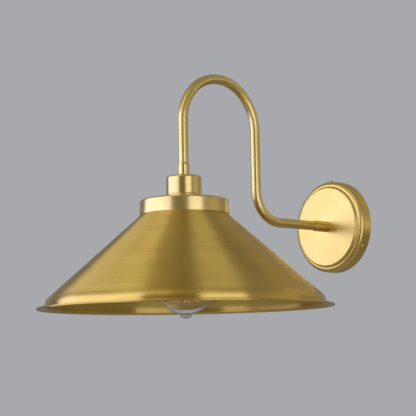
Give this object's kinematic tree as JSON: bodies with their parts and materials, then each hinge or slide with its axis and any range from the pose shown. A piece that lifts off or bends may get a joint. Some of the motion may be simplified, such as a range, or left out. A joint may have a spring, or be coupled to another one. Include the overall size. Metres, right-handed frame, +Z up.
{
  "type": "gooseneck wall sconce",
  "caption": "Brass swan-neck wall light: round wall rose, bent tube arm, lampholder with gallery ring, wide cone shade and a clear screw-cap filament bulb.",
  "frame": {"origin": "centre of the mounting plate's back face, on the axis of the arm's horizontal run", "axes": "+Y into the wall, +Z up, +X to the right seen from the room; the arm leaves the wall towards -Y"},
  "size_m": [0.35, 0.438, 0.3016],
  "materials": {
    "satin_brass": "satin, fine brushed",
    "brushed_brass": "brushed around the cone, lacquered",
    "screw_brass": "polished",
    "terminal_brass": "plain turned",
    "cap_brass": "rolled",
    "plate_steel": "zinc plated",
    "screw_steel": "zinc plated",
    "grommet_rubber": "matt black",
    "block_plastic": "matt white",
    "insulation_brown": "matt brown",
    "insulation_blue": "matt blue",
    "insulation_green": "matt green and yellow",
    "porcelain": "glazed white",
    "clear_glass": "clear",
    "cap_glass": "gloss black",
    "solder": "dull tinned",
    "support_wire": "drawn wire",
    "filament_glow": "glowing orange"
  },
  "bodies": {
    "fitting": {"mounting_plate": "plate_steel", "cable_grommet": "grommet_rubber", "wall_rose": "satin_brass", "rose_side_screws": "screw_brass", "terminal_block": "block_plastic", "terminal_sleeves": "terminal_brass", "terminal_clamp_screws": "screw_steel", "terminal_block_screws": "screw_steel", "earth_screw": "screw_brass", "earth_washer": "terminal_brass", "wall_nipple": "terminal_brass", "arm_nut": "terminal_brass", "arm_lock_washer": "screw_steel", "wall_ferrule": "satin_brass", "arm_tube": "satin_brass", "live_wire": "insulation_brown", "neutral_wire": "insulation_blue", "earth_wire": "insulation_green", "earth_link": "insulation_green", "shade_ferrule": "satin_brass", "holder_nipple": "terminal_brass", "holder_lock_nut": "terminal_brass", "holder_earth_tag": "terminal_brass", "holder_cap": "satin_brass", "holder_core": "porcelain", "holder_screw_shell": "terminal_brass", "holder_centre_contact": "terminal_brass", "holder_terminals": "terminal_brass", "holder_terminal_screws": "screw_steel", "holder_skirt": "satin_brass", "shade_collar": "satin_brass", "shade": "brushed_brass"},
    "shade_ring": {"shade_ring": "satin_brass"},
    "bulb": {"bulb_glass": "clear_glass", "bulb_cap": "cap_brass", "bulb_cap_insulator": "cap_glass", "bulb_cap_contact": "solder", "bulb_stem": "clear_glass", "bulb_lead_wires": "support_wire", "filament": "filament_glow", "filament_supports": "support_wire"}
  },
  "joints": [
    {"name": "bulb_unscrew", "type": "slide", "parent": "fitting", "child": "bulb", "axis": [0, 0, -1], "range_m": [0, 0.135]},
    {"name": "shade_ring_turn", "type": "hinge", "parent": "fitting", "child": "shade_ring", "pos_m": [0, -0.263, 0.0134], "axis": [0, 0, 1], "range_deg": [-360, 0]}
  ]
}
